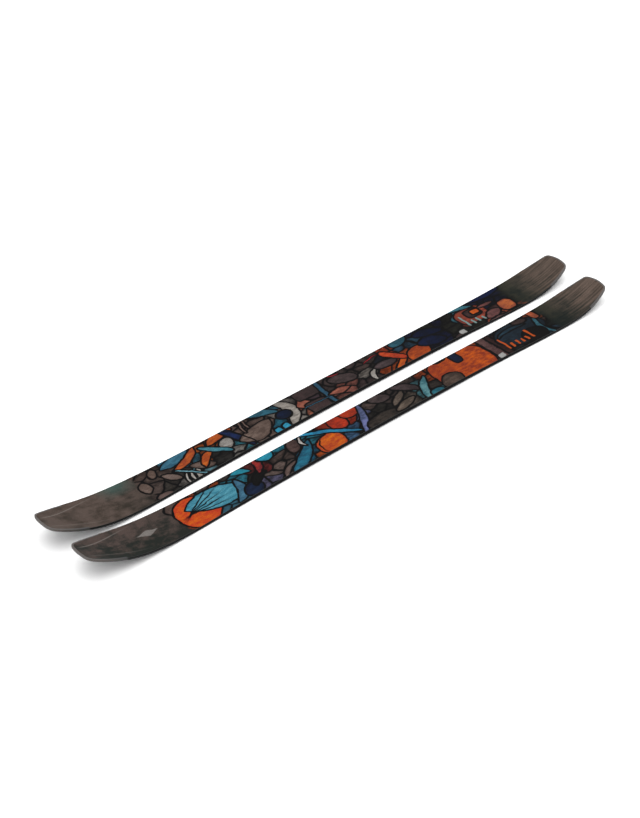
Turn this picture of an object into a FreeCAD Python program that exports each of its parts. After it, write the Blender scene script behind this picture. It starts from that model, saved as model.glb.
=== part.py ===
"""A pair of all-mountain alpine skis, without bindings, as the laminated pieces that each ski is pressed from.

Row frame, in millimetres: +X points to the ski tips, +Y to the skier's left and +Z up. The origin is on the
ground, midway between the two skis and midway along them. Both skis rest on their bases, side by side.

Each ski is a stack of sheets that all follow one long profile: flat under the boot, slightly arched between
the two contact lines, and swept up at the tip and the tail, where the sides also turn up past a ridge line.
"""
import FreeCAD, Part
import math
import os

from FreeCAD import Vector

# ---- driving dimensions ------------------------------------------------------------------------------------
LENGTH = 1800.0  # tip to tail, along the ground
TIP_WIDTH = 125.0
WAIST_WIDTH = 100.5
TAIL_WIDTH = 116.5
TIP_HEIGHT = 65.0  # base above the ground at the tip's end
TAIL_HEIGHT = 41.0
CAMBER = 1.7  # arch of the base under the boot
SKI_SPACING = 149.0  # between the two centre lines

FRONT_CONTACT = 485.0  # where the base touches the ground
REAR_CONTACT = -600.0
BINDING_CENTRE = -60.0  # middle of the boot's place
PLATFORM_LENGTH = 400.0  # flat, constant-thickness stretch that a binding is screwed to

MID_THICKNESS = 11.8
END_THICKNESS = 7.5
TAPER_END = 830.0  # from here to the end the thickness is constant

# long profile at the two ends
TIP_ROCKER_POWER = 3.2
TAIL_ROCKER_POWER = 3.7
RIDGE_START = 690.0  # distance from the middle where the raised sides begin
RIDGE_MID = 52.0  # ridge line from the centre line, where the raised sides begin
RIDGE_END = 20.0  # the same at the end of the ski
TIP_SIDE_LIFT = 7.0  # rise of the outer rail above the ridge line, at the end of the ski
TAIL_SIDE_LIFT = 3.0

# outline at the two ends: half width where the corner begins, angle of the side there, corner radius,
# and how far round from square the end line starts
TIP_CORNER = {"half_width": 42.5, "side_angle": 18.4, "radius": 22.0, "end_angle": 11.4}
TAIL_CORNER = {"half_width": 42.0, "side_angle": 17.1, "radius": 17.5, "end_angle": 17.1}

# heights in the stack, from the bottom
BASE_THICKNESS = 1.3
EDGE_HEIGHT = 1.9
FOIL_THICKNESS = 0.3
LOWER_LAMINATE_THICKNESS = 0.5
# depths in the stack, from the top
TOPSHEET_THICKNESS = 0.5
UPPER_LAMINATE_THICKNESS = 0.6
CARBON_THICKNESS = 0.4
PLATE_THICKNESS = 0.5

# widths in the stack, in from the outline
EDGE_WIDTH = 2.0
RIM_WIDTH = 5.0
FLANGE_REACH = 8.0  # steel edge with its flange, and also the sidewall and the rubber foil

# lengths in the stack
EDGE_FRONT, EDGE_REAR = 800.0, -815.0
CORE_FRONT, CORE_REAR = 620.0, -660.0
CARBON_WIDTH = 30.0
CARBON_END_GAP = 20.0
PLATE_LENGTH = 520.0
PLATE_WIDTH = 76.0
# edges of the core's wood strips, out from the centre line: poplar and ash by turns, poplar first
STRIP_LINES = [9.0, 16.0, 27.0, 34.0]

# construction limits outside the ski, which the outline then trims away
PROFILE_END = LENGTH / 2 + 12.0
RAIL_Y = 75.0
PRISM_LOW, PRISM_HIGH = -20.0, 120.0
RAIL_POINTS = 40
SIDE_POINTS = 60

PLATFORM_FRONT = BINDING_CENTRE + PLATFORM_LENGTH / 2
PLATFORM_REAR = BINDING_CENTRE - PLATFORM_LENGTH / 2


def clamped_spline(points, start, end):
    """A smooth curve through the points, which leaves and arrives along the given directions."""
    spline = Part.BSplineCurve()
    spline.interpolate(
        Points=points, InitialTangent=start.normalize(), FinalTangent=end.normalize(), Scale=False
    )
    return spline


# ---- the long profile --------------------------------------------------------------------------------------
def ramp(share):
    """0 to 1, with a level start and end."""
    share = min(1.0, max(0.0, share))
    return 0.5 - 0.5 * math.cos(math.pi * share)


def camber_height(x):
    """The arch between the contact lines, level under the boot."""
    if x > PLATFORM_FRONT:
        return CAMBER * (1.0 - ramp((x - PLATFORM_FRONT) / (FRONT_CONTACT - PLATFORM_FRONT)))
    if x < PLATFORM_REAR:
        return CAMBER * (1.0 - ramp((PLATFORM_REAR - x) / (PLATFORM_REAR - REAR_CONTACT)))
    return CAMBER


def rocker_height(x):
    """The upturn beyond the contact lines."""
    if x > FRONT_CONTACT:
        return TIP_HEIGHT * ((x - FRONT_CONTACT) / (LENGTH / 2 - FRONT_CONTACT)) ** TIP_ROCKER_POWER
    if x < REAR_CONTACT:
        return TAIL_HEIGHT * ((REAR_CONTACT - x) / (LENGTH / 2 + REAR_CONTACT)) ** TAIL_ROCKER_POWER
    return 0.0


def base_height(x):
    return camber_height(x) + rocker_height(x)


def thickness(x):
    if PLATFORM_REAR <= x <= PLATFORM_FRONT:
        return MID_THICKNESS
    flat_end = PLATFORM_FRONT if x > 0 else -PLATFORM_REAR
    thinned = ramp((abs(x) - flat_end) / (TAPER_END - flat_end))
    return MID_THICKNESS - (MID_THICKNESS - END_THICKNESS) * thinned


def side_lift(x):
    most = TIP_SIDE_LIFT if x > 0 else TAIL_SIDE_LIFT
    return most * ramp((abs(x) - RIDGE_START) / (LENGTH / 2 - RIDGE_START))


def ridge_y(x):
    return RIDGE_MID - (RIDGE_MID - RIDGE_END) * ramp((abs(x) - RIDGE_START) / (LENGTH / 2 - RIDGE_START))


def above_base(offset):
    """A sheet's surface at a constant height above the base's underside."""
    return lambda x: base_height(x) + offset


def below_top(offset):
    """A sheet's surface at a constant depth under the top."""
    return lambda x: base_height(x) + thickness(x) - offset


def rail_y(x, place):
    """Places 0 to 3 run from the right rail over the two ridge lines to the left rail."""
    return (-RAIL_Y, -ridge_y(x), ridge_y(x), RAIL_Y)[place]


def rail_point(x, place, height):
    lift = side_lift(x) if place in (0, 3) else 0.0
    return Vector(x, rail_y(x, place), height(x) + lift)


def rail_edges(place, height):
    """One rail from tail to tip: a curve, the level line under the boot and another curve."""
    def curve(x_from, x_to, level_start, level_end):
        step = (x_to - x_from) / (RAIL_POINTS - 1)
        points = [rail_point(x_from + i * step, place, height) for i in range(RAIL_POINTS)]
        start = Vector(1, 0, 0) if level_start else points[1] - points[0]
        end = Vector(1, 0, 0) if level_end else points[-1] - points[-2]
        return clamped_spline(points, start, end).toShape()

    flat = [rail_point(x, place, height) for x in (PLATFORM_REAR, PLATFORM_FRONT)]
    rear = curve(-PROFILE_END, PLATFORM_REAR, level_start=False, level_end=True)
    front = curve(PLATFORM_FRONT, PROFILE_END, level_start=True, level_end=False)
    return [rear, Part.makeLine(*flat), front]


def slab(low, high):
    """The solid between two sheet surfaces, wider and longer than the ski."""
    rails = [rail_edges(place, low) for place in range(4)] + [rail_edges(place, high) for place in (3, 2, 1, 0)]
    faces = []
    for first, second in zip(rails, rails[1:] + rails[:1]):
        for number, (a, b) in enumerate(zip(first, second)):
            if number == 1:
                corners = [a.Vertexes[0].Point, a.Vertexes[1].Point, b.Vertexes[1].Point, b.Vertexes[0].Point]
                faces.append(Part.Face(Part.makePolygon(corners + corners[:1])))
            else:
                faces.append(Part.makeRuledSurface(a, b))
    for end in (-PROFILE_END, PROFILE_END):
        corners = [rail_point(end, place, low) for place in range(4)]
        corners += [rail_point(end, place, high) for place in (3, 2, 1, 0)]
        faces.append(Part.Face(Part.makePolygon(corners + corners[:1])))
    shell = Part.Shell(faces)
    shell.sewShape()
    solid = Part.Solid(shell)
    if solid.Volume < 0:
        solid.reverse()
    return solid


# ---- the outline, seen from above --------------------------------------------------------------------------
def corner(x_end, side, shape):
    """The rounded corner and the end line: where they start, turn and meet the centre line."""
    start_angle = math.radians(shape["side_angle"])
    end_angle = math.radians(90.0 - shape["end_angle"])
    end_slant = math.radians(shape["end_angle"])
    radius = shape["radius"]
    reach = radius * (math.sin(end_angle) - math.sin(start_angle))
    end_half = shape["half_width"] - radius * (math.cos(start_angle) - math.cos(end_angle))
    end_radius = end_half / math.sin(end_slant)
    bulge = end_radius * (1.0 - math.cos(end_slant))
    shoulder = Vector(x_end - side * (reach + bulge), shape["half_width"], 0)
    return {
        "side": side,
        "angles": (start_angle, (start_angle + end_angle) / 2, end_angle),
        "shoulder": shoulder,
        "tangent": Vector(math.cos(start_angle), -side * math.sin(start_angle), 0),
        "centre": shoulder - Vector(side * math.sin(start_angle), math.cos(start_angle), 0) * radius,
        "radius": radius,
        "end": Vector(x_end, 0, 0),
    }


TIP = corner(LENGTH / 2, 1, TIP_CORNER)
TAIL = corner(-LENGTH / 2, -1, TAIL_CORNER)


def side_curve():
    """The left side from the tail's corner to the tip's corner: two wide ends and a narrow waist."""
    waist = WAIST_WIDTH / 2
    points = [
        TAIL["shoulder"],
        Vector(-831, TAIL_WIDTH / 2 - 4.5, 0),
        Vector(-741, TAIL_WIDTH / 2, 0),
        Vector(-500, waist + 2.6, 0),
        Vector(-250, waist + 0.4, 0),
        Vector(-60, waist, 0),
        Vector(250, waist + 1.9, 0),
        Vector(498, waist + 6.6, 0),
        Vector(718, TIP_WIDTH / 2, 0),
        Vector(827, TIP_WIDTH / 2 - 6.5, 0),
        TIP["shoulder"],
    ]
    return clamped_spline(points, Vector(TAIL["tangent"]), Vector(TIP["tangent"]))


SIDE = side_curve()


def mirrored(point):
    return Vector(point.x, -point.y, point.z)


def corner_turn(end, distance):
    """Three points on a corner's arc, from the side to the end line, moved in by a distance."""
    radius = end["radius"] - distance
    return [end["centre"] + Vector(end["side"] * math.sin(a), math.cos(a), 0) * radius for a in end["angles"]]


def inset(distance):
    """The face inside the outline, moved in by a distance."""
    first, last = SIDE.FirstParameter, SIDE.LastParameter
    points = []
    for i in range(SIDE_POINTS):
        at = first + (last - first) * i / (SIDE_POINTS - 1)
        along = Vector(SIDE.tangent(at)[0]).normalize()
        points.append(SIDE.value(at) - Vector(-along.y, along.x, 0) * distance)

    edges = []
    turns = {"tip": corner_turn(TIP, distance), "tail": corner_turn(TAIL, distance)}
    for flip in (Vector, mirrored):
        side = clamped_spline([flip(p) for p in points], flip(TAIL["tangent"]), flip(TIP["tangent"]))
        edges.append(side.toShape())
        edges += [Part.Arc(*[flip(p) for p in turn]).toShape() for turn in turns.values()]
    for end, turn in ((TIP, turns["tip"]), (TAIL, turns["tail"])):
        middle = end["end"] - Vector(end["side"] * distance, 0, 0)
        edges.append(Part.Arc(turn[-1], middle, mirrored(turn[-1])).toShape())
    return Part.Face(Part.Wire(Part.__sortEdges__(edges)))


def window(x_from, x_to, y_from=-RAIL_Y, y_to=RAIL_Y):
    """A rectangle that picks out part of a plan."""
    return Part.makePlane(x_to - x_from, y_to - y_from, Vector(x_from, y_from, 0))


def between(face, x_from, x_to):
    return face.common(window(x_from, x_to))


FULL = inset(0)
INSIDE_EDGE = inset(EDGE_WIDTH)
INSIDE_RIM = inset(RIM_WIDTH)
INSIDE_FLANGE = inset(FLANGE_REACH)
TIP_RIM_PLAN = between(FULL.cut(INSIDE_RIM), EDGE_FRONT, PROFILE_END)
TAIL_RIM_PLAN = between(FULL.cut(INSIDE_RIM), -PROFILE_END, EDGE_REAR)


def side_band(inner, x_from, x_to):
    """The two strips along the sides, from the outline in to the inner face."""
    return between(FULL.cut(inner), x_from, x_to)


def sheet_plan(outside=()):
    """The whole plan inside the two rims, less anything else that lies outside the sheet."""
    return FULL.cut([TIP_RIM_PLAN, TAIL_RIM_PLAN, *outside])


# ---- from plan and slab to solid ---------------------------------------------------------------------------
def cut_from(slab_solid, plan):
    """The solids that a plan picks out of a slab."""
    solids = []
    for face in plan.Faces:
        lowered = face.translated(Vector(0, 0, PRISM_LOW))
        prism = lowered.extrude(Vector(0, 0, PRISM_HIGH - PRISM_LOW))
        solids += prism.common(slab_solid).Solids
    return solids


def joined(solids):
    """Solids that touch, as one."""
    return solids[0].fuse(solids[1:]).Solids


def one_side(solids, side):
    """The solids on one side of the ski's centre line: side is 1 for its left and -1 for its right."""
    return [s for s in solids if s.CenterOfMass.y * side > 0]


# ---- the pieces of one ski, about its own centre line -------------------------------------------------------
LAMINATE_LOW = EDGE_HEIGHT + FOIL_THICKNESS
CORE_LOW = LAMINATE_LOW + LOWER_LAMINATE_THICKNESS
CORE_TOP_DEPTH = TOPSHEET_THICKNESS + UPPER_LAMINATE_THICKNESS


def base():
    beside = side_band(INSIDE_EDGE, EDGE_REAR, EDGE_FRONT)
    return cut_from(slab(above_base(0), above_base(BASE_THICKNESS)), sheet_plan([beside]))


def steel_edges():
    """Two L-shaped steel edges: a head at the outline, and a thin flange over the base."""
    head_plan = side_band(INSIDE_EDGE, EDGE_REAR, EDGE_FRONT)
    flange_plan = between(INSIDE_EDGE.cut(INSIDE_FLANGE), EDGE_REAR, EDGE_FRONT)
    heads = cut_from(slab(above_base(0), above_base(EDGE_HEIGHT)), head_plan)
    flanges = cut_from(slab(above_base(BASE_THICKNESS), above_base(EDGE_HEIGHT)), flange_plan)
    return {side: joined(one_side(heads, side) + one_side(flanges, side)) for side in (1, -1)}


def rubber_foils():
    plan = side_band(INSIDE_FLANGE, EDGE_REAR, EDGE_FRONT)
    strips = cut_from(slab(above_base(EDGE_HEIGHT), above_base(LAMINATE_LOW)), plan)
    return {side: one_side(strips, side) for side in (1, -1)}


def lower_laminate():
    """A full-width sheet, thicker between the two edge flanges, where it fills down to the base."""
    beside = side_band(INSIDE_FLANGE, EDGE_REAR, EDGE_FRONT)
    fill = cut_from(slab(above_base(BASE_THICKNESS), above_base(LAMINATE_LOW)), sheet_plan([beside]))
    sheet = cut_from(slab(above_base(LAMINATE_LOW), above_base(CORE_LOW)), sheet_plan())
    return joined(fill + sheet)


def sidewalls():
    plan = side_band(INSIDE_FLANGE, CORE_REAR, CORE_FRONT)
    walls = cut_from(slab(above_base(CORE_LOW), below_top(CORE_TOP_DEPTH)), plan)
    return {side: one_side(walls, side) for side in (1, -1)}


def carbon_strip():
    plan = window(CORE_REAR + CARBON_END_GAP, CORE_FRONT - CARBON_END_GAP, -CARBON_WIDTH / 2, CARBON_WIDTH / 2)
    return cut_from(slab(below_top(CORE_TOP_DEPTH + CARBON_THICKNESS), below_top(CORE_TOP_DEPTH)), plan)


def binding_plate():
    """The sheet that binding screws bite into, let into the core under the carbon strip."""
    half = PLATE_LENGTH / 2
    plan = window(BINDING_CENTRE - half, BINDING_CENTRE + half, -PLATE_WIDTH / 2, PLATE_WIDTH / 2)
    plate_top = CORE_TOP_DEPTH + CARBON_THICKNESS
    return cut_from(slab(below_top(plate_top + PLATE_THICKNESS), below_top(plate_top)), plan)


def core_strips(inserts):
    """The wood core's glued strips, with the beds of the inserts milled out: poplar and ash by turns."""
    core_slab = slab(above_base(CORE_LOW), below_top(CORE_TOP_DEPTH))
    plan = between(INSIDE_FLANGE, CORE_REAR, CORE_FRONT)
    lines = [-RAIL_Y] + [-y for y in reversed(STRIP_LINES)] + STRIP_LINES + [RAIL_Y]
    strips = {"poplar": [], "ash": []}
    for number, (y_from, y_to) in enumerate(zip(lines, lines[1:])):
        wood = "poplar" if number % 2 == 0 else "ash"
        for strip in cut_from(core_slab, plan.common(window(CORE_REAR, CORE_FRONT, y_from, y_to))):
            strips[wood] += strip.cut(inserts).Solids
    return strips


def end_spacer(x_from, x_to):
    """The plastic insert that takes over from the wood where the ski is too thin for it."""
    return cut_from(slab(above_base(CORE_LOW), below_top(CORE_TOP_DEPTH)), between(sheet_plan(), x_from, x_to))


def end_rim(plan):
    """The moulded plastic rim that closes the ski round the tip or the tail, where the steel edges stop."""
    return cut_from(slab(above_base(0), below_top(0)), plan)


def upper_laminate():
    return cut_from(slab(below_top(CORE_TOP_DEPTH), below_top(TOPSHEET_THICKNESS)), sheet_plan())


def topsheet():
    return cut_from(slab(below_top(TOPSHEET_THICKNESS), below_top(0)), sheet_plan())


def ski_pieces():
    """Every piece of one ski by name. Paired pieces are keyed by their side, 1 for left and -1 for right."""
    carbon = carbon_strip()
    plate = binding_plate()
    strips = core_strips(carbon + plate)
    return {
        "base": base(),
        "edge": steel_edges(),
        "edge_foil": rubber_foils(),
        "lower_laminate": lower_laminate(),
        "sidewall": sidewalls(),
        "core_poplar": strips["poplar"],
        "core_ash": strips["ash"],
        "binding_plate": plate,
        "carbon_strip": carbon,
        "tip_spacer": end_spacer(CORE_FRONT, PROFILE_END),
        "tail_spacer": end_spacer(-PROFILE_END, CORE_REAR),
        "tip_rim": end_rim(TIP_RIM_PLAN),
        "tail_rim": end_rim(TAIL_RIM_PLAN),
        "upper_laminate": upper_laminate(),
        "topsheet": topsheet(),
    }


def write(node, solids):
    bad = [s for s in solids if not s.isValid() or s.Volume <= 0]
    volume = sum(s.Volume for s in solids) / 1000
    print(f"{node:28s} {len(solids)} solids {volume:9.2f} cm3{'  BAD' if bad else ''}")
    shape = solids[0] if len(solids) == 1 else Part.Compound(solids)
    shape.exportStep(f"parts/{node}.step")


def main():
    os.makedirs("parts", exist_ok=True)
    pieces = ski_pieces()
    for ski, side in (("left", 1), ("right", -1)):
        place = Vector(0, side * SKI_SPACING / 2, 0)
        for name, made in pieces.items():
            if isinstance(made, dict):
                for edge_side, solids in made.items():
                    where = "outer" if edge_side == side else "inner"
                    write(f"{ski}_{where}_{name}", [s.translated(place) for s in solids])
            else:
                write(f"{ski}_{name}", [s.translated(place) for s in made])


main()
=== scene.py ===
"""A pair of alpine skis: fine meshes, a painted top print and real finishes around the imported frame.

Lengths in the shape functions are millimetres in one ski's own frame, about its centre line. They turn into
metres in the row frame when a mesh is made.
"""

import math

import bmesh
import bpy
import numpy as np
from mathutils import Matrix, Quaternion, Vector


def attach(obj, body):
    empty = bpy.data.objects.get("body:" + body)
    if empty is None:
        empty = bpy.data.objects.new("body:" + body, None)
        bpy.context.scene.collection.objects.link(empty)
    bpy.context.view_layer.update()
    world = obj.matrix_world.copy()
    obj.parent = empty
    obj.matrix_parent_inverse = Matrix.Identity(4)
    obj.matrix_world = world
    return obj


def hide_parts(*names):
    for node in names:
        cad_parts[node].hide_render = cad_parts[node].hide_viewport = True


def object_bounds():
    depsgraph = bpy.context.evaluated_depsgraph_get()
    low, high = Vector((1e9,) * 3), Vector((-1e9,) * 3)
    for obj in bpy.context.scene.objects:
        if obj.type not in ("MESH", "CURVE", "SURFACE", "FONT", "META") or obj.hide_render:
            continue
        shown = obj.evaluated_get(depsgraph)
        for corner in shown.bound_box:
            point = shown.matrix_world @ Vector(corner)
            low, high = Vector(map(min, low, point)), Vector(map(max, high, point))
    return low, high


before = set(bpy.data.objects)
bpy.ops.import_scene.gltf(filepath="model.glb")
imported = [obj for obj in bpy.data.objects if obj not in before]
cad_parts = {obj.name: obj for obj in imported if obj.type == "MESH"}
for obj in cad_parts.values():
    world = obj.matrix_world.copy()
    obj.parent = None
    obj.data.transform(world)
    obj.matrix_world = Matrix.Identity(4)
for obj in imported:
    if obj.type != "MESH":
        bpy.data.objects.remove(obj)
cad_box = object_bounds()

# ---- the ski's shape, as the frame has it ------------------------------------------------------------------
LENGTH = 1800.0
TIP_WIDTH, WAIST_WIDTH, TAIL_WIDTH = 125.0, 100.5, 116.5
TIP_HEIGHT, TAIL_HEIGHT, CAMBER = 65.0, 41.0, 1.7
SKI_SPACING = 149.0
FRONT_CONTACT, REAR_CONTACT = 485.0, -600.0
PLATFORM_FRONT, PLATFORM_REAR = 140.0, -260.0
MID_THICKNESS, END_THICKNESS, TAPER_END = 11.8, 7.5, 830.0
TIP_ROCKER_POWER, TAIL_ROCKER_POWER = 3.2, 3.7
RIDGE_START, RIDGE_MID, RIDGE_END, RAIL_Y = 690.0, 52.0, 20.0, 75.0
TIP_SIDE_LIFT, TAIL_SIDE_LIFT = 7.0, 3.0
TIP_CORNER = {"half_width": 42.5, "side_angle": 18.4, "radius": 22.0, "end_angle": 11.4}
TAIL_CORNER = {"half_width": 42.0, "side_angle": 17.1, "radius": 17.5, "end_angle": 17.1}
EDGE_FRONT, EDGE_REAR = 800.0, -815.0
CORE_FRONT, CORE_REAR = 620.0, -660.0

# levels in the stack: above the base's underside, and below the top
BASE_TOP, EDGE_TOP, FOIL_TOP, LAMINATE_TOP = 1.3, 1.9, 2.2, 2.7
TOPSHEET_DEPTH, CORE_DEPTH = 0.5, 1.1
EDGE_INSET, RIM_INSET, FLANGE_INSET = 2.0, 5.0, 8.0

# the planed bevel along the top edge, which the CAD leaves square
BEVEL_WIDTH, BEVEL_DEPTH = 1.1, 1.5
RIDGE_SOFTNESS = 1.2  # half the width over which the ridge line is rounded

# how finely the outline is stepped
CORNER_STEPS, END_STEPS = 13, 9  # along a corner's arc, and along half of an end's arc
SIDE_STEPS, SEARCH_STEPS = 340, 4000  # along a side, and in the search for its stops
END_ROW_WIDTH = 40.0  # rows with a smaller half width belong to an end, not to a side


def centre_y(ski):
    """Where a ski's centre line is, from the middle between the two."""
    return SKI_SPACING / 2 if ski == "left" else -SKI_SPACING / 2


def ramp(share):
    return 0.5 - 0.5 * np.cos(np.pi * np.clip(share, 0.0, 1.0))


def base_height(x):
    front = (x - PLATFORM_FRONT) / (FRONT_CONTACT - PLATFORM_FRONT)
    rear = (PLATFORM_REAR - x) / (PLATFORM_REAR - REAR_CONTACT)
    camber = CAMBER * (1.0 - ramp(np.maximum(front, rear)))
    tip = np.clip((x - FRONT_CONTACT) / (LENGTH / 2 - FRONT_CONTACT), 0, None) ** TIP_ROCKER_POWER
    tail = np.clip((REAR_CONTACT - x) / (LENGTH / 2 + REAR_CONTACT), 0, None) ** TAIL_ROCKER_POWER
    return camber + TIP_HEIGHT * tip + TAIL_HEIGHT * tail


def thickness(x):
    flat_end = np.where(x > 0, PLATFORM_FRONT, -PLATFORM_REAR)
    thinned = ramp((abs(x) - flat_end) / (TAPER_END - flat_end))
    return MID_THICKNESS - (MID_THICKNESS - END_THICKNESS) * thinned


def end_share(x):
    return ramp((abs(x) - RIDGE_START) / (LENGTH / 2 - RIDGE_START))


def ridge_y(x):
    return RIDGE_MID - (RIDGE_MID - RIDGE_END) * end_share(x)


def side_rise(x, y):
    """How far the turned-up sides stand above the ridge line, with the ridge a little rounded."""
    most = np.where(x > 0, TIP_SIDE_LIFT, TAIL_SIDE_LIFT) * end_share(x)
    reach = RAIL_Y - ridge_y(x)
    past = abs(y) - ridge_y(x)
    soft = np.clip((past + RIDGE_SOFTNESS) ** 2 / (4 * RIDGE_SOFTNESS), 0, None)
    past = np.where(past <= -RIDGE_SOFTNESS, 0.0, np.where(past < RIDGE_SOFTNESS, soft, past))
    return most * past / reach


def height(x, y, level):
    """The height of a level of the stack: up from the base's underside, or if negative down from the top."""
    up = base_height(x) + side_rise(x, y)
    return up + np.where(level >= 0, level, thickness(x) + level)


TOP = -1e-9  # the top itself, told apart from the base's underside, which is level 0


# ---- the outline, as rows from the tail's middle to the tip's middle ---------------------------------------
def corner(x_end, side, shape):
    """One end's corner arc and end arc: rows of place and outward direction, from the side to the middle."""
    start = math.radians(shape["side_angle"])
    slant = math.radians(shape["end_angle"])
    end = math.pi / 2 - slant
    radius = shape["radius"]
    end_half = shape["half_width"] - radius * (math.cos(start) - math.cos(end))
    end_radius = end_half / math.sin(slant)
    reach = radius * (math.sin(end) - math.sin(start))
    shoulder = np.array([x_end - side * (reach + end_radius * (1 - math.cos(slant))), shape["half_width"]])
    centre = shoulder - radius * np.array([side * math.sin(start), math.cos(start)])
    turn = np.linspace(start, end, CORNER_STEPS)
    out = np.stack([side * np.sin(turn), np.cos(turn)], axis=1)
    arc = np.hstack([centre + radius * out, out])
    turn = np.linspace(slant, 0, END_STEPS)[1:]
    out = np.stack([side * np.cos(turn), np.sin(turn)], axis=1)
    middle = np.array([x_end - side * end_radius, 0.0])
    end_arc = np.hstack([middle + end_radius * out, out])
    tangent = np.array([math.cos(start), -side * math.sin(start)])
    return {"rows": np.vstack([arc, end_arc]), "shoulder": shoulder, "tangent": tangent}


def side_rows(tip, tail):
    """The side between the two corners: a smooth curve through the widths, with its outward directions."""
    waist = WAIST_WIDTH / 2
    knots = np.array([
        tail["shoulder"], (-831, TAIL_WIDTH / 2 - 4.5), (-741, TAIL_WIDTH / 2), (-500, waist + 2.6),
        (-250, waist + 0.4), (-60, waist), (250, waist + 1.9), (498, waist + 6.6), (718, TIP_WIDTH / 2),
        (827, TIP_WIDTH / 2 - 6.5), tip["shoulder"],
    ])
    gap = np.linalg.norm(np.diff(knots, axis=0), axis=1)
    count = len(knots)
    rows, wanted = np.eye(count), np.zeros((count, 2))
    wanted[0], wanted[-1] = tail["tangent"], tip["tangent"]
    for i in range(1, count - 1):
        rows[i, i - 1:i + 2] = 1 / gap[i - 1], 2 / gap[i - 1] + 2 / gap[i], 1 / gap[i]
        before, after = knots[i] - knots[i - 1], knots[i + 1] - knots[i]
        wanted[i] = 3 * (before / gap[i - 1] ** 2 + after / gap[i] ** 2)
    slopes = np.linalg.solve(rows, wanted)
    starts = np.concatenate([[0.0], np.cumsum(gap)])

    def curve(at):
        """Rows of place and outward direction, at distances along the straight lines between the knots."""
        i = np.clip(np.searchsorted(starts, at, side="right") - 1, 0, count - 2)
        g = gap[i][:, None]
        t = ((at - starts[i]) / gap[i])[:, None]
        p, q, m, n = knots[i], knots[i + 1], slopes[i] * g, slopes[i + 1] * g
        leaving = (2*t**3 - 3*t**2 + 1) * p + (t**3 - 2*t**2 + t) * m
        place = leaving + (3*t**2 - 2*t**3) * q + (t**3 - t**2) * n
        along = (6*t**2 - 6*t) * (p - q) + (3*t**2 - 4*t + 1) * m + (3*t**2 - 2*t) * n
        along /= np.linalg.norm(along, axis=1, keepdims=True)
        return np.hstack([place, -along[:, 1:], along[:, :1]])

    at = np.linspace(0, starts[-1], SIDE_STEPS)
    fine = np.linspace(0, starts[-1], SEARCH_STEPS)
    stops = [np.interp(x, curve(fine)[:, 0], fine) for x in (EDGE_REAR, CORE_REAR, CORE_FRONT, EDGE_FRONT)]
    return curve(np.sort(np.concatenate([at[1:-1], stops])))


TIP = corner(LENGTH / 2, 1, TIP_CORNER)
TAIL = corner(-LENGTH / 2, -1, TAIL_CORNER)
ROWS = np.vstack([TAIL["rows"][::-1], side_rows(TIP, TAIL), TIP["rows"]])


def row_at(x):
    """The number of the side's row at a place along it."""
    return int(np.argmin(abs(ROWS[:, 0] - x) + np.where(ROWS[:, 1] < END_ROW_WIDTH, LENGTH, 0)))


EDGE_ROWS = (row_at(EDGE_REAR), row_at(EDGE_FRONT))
CORE_ROWS = (row_at(CORE_REAR), row_at(CORE_FRONT))
LAST_ROW = len(ROWS) - 1


# ---- meshes ------------------------------------------------------------------------------------------------
WELD_DISTANCE = 1e-7  # metres
SHARP_ANGLE = math.radians(35)  # a fold of this much or more is shaded as an edge


def make_piece(name, ski, points, faces, slot, *nodes):
    """A mesh of one ski from points in millimetres, with flat and rounded places told apart by angle."""
    bm = bmesh.new()
    offset = centre_y(ski)
    made = [bm.verts.new((x / 1000, (y + offset) / 1000, z / 1000)) for x, y, z in points]
    for face in faces:
        corners = [made[i] for i in face]
        if len(set(corners)) > 2:
            bm.faces.new(corners)
    bmesh.ops.remove_doubles(bm, verts=bm.verts, dist=WELD_DISTANCE)
    bmesh.ops.dissolve_degenerate(bm, dist=WELD_DISTANCE, edges=bm.edges)
    bmesh.ops.recalc_face_normals(bm, faces=bm.faces)
    for edge in bm.edges:
        edge.smooth = edge.calc_face_angle(0) < SHARP_ANGLE
    for face in bm.faces:
        face.smooth = True
    mesh = bpy.data.meshes.new(f"{ski}_{name}_fine")
    bm.to_mesh(mesh)
    bm.free()
    piece = bpy.data.objects.new(f"{ski}_{name}_fine", mesh)
    bpy.context.collection.objects.link(piece)
    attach(piece, f"{ski}_ski")
    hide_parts(*[f"{ski}_{node}" for node in (nodes or (name,))])
    return piece


def band(section, rows, side):
    """A closed section of (inset, level) points swept along rows of the outline, on one side of the ski."""
    x = rows[:, 0, None] - rows[:, 2, None] * [[inset for inset, _ in section]]
    y = (rows[:, 1, None] - rows[:, 3, None] * [[inset for inset, _ in section]]) * side
    level = np.broadcast_to([level for _, level in section], x.shape)
    points = np.stack([x, y, height(x, y, level)], axis=2).reshape(-1, 3)
    width, count = len(section), len(rows)
    faces = []
    for i in range(count - 1):
        for j in range(width):
            k = (j + 1) % width
            faces.append((i * width + j, i * width + k, (i + 1) * width + k, (i + 1) * width + j))
    return points, faces, width, count


def closed_band(section, rows, side):
    points, faces, width, count = band(section, rows, side)
    faces += [tuple(range(width)), tuple((count - 1) * width + j for j in range(width))]
    return points, faces


def rim(section, rows):
    """A band that goes round an end: up the left side to the middle, and back down the right side."""
    left, faces, width, count = band(section, rows, 1)
    right, _, _, _ = band(section, rows, -1)
    start = len(left)
    faces += [tuple(start + i for i in face) for face in faces]
    faces += [tuple(range(width)), tuple(start + j for j in range(width))]
    return np.vstack([left, right]), faces


# How a sheet is divided across: its first columns' insets from the outline, then how many steps there are from
# there to the ridge, and from the ridge to the centre line.
ACROSS = {
    "fine": {"insets": [0, 0.25, 0.6, 1.2, 2.2, 3.5, 5.0, 6.5, 8.0], "sides": 5, "middle": 8},
    "plain": {"insets": [0, 5.0, 8.0], "sides": 1, "middle": 1},
}
NEAR_ZERO = 1e-6
RIDGE_LIMIT, SOFTNESS_LIMIT = 0.94, 0.05  # the most they may be, as shares of the half width inside the insets


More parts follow.
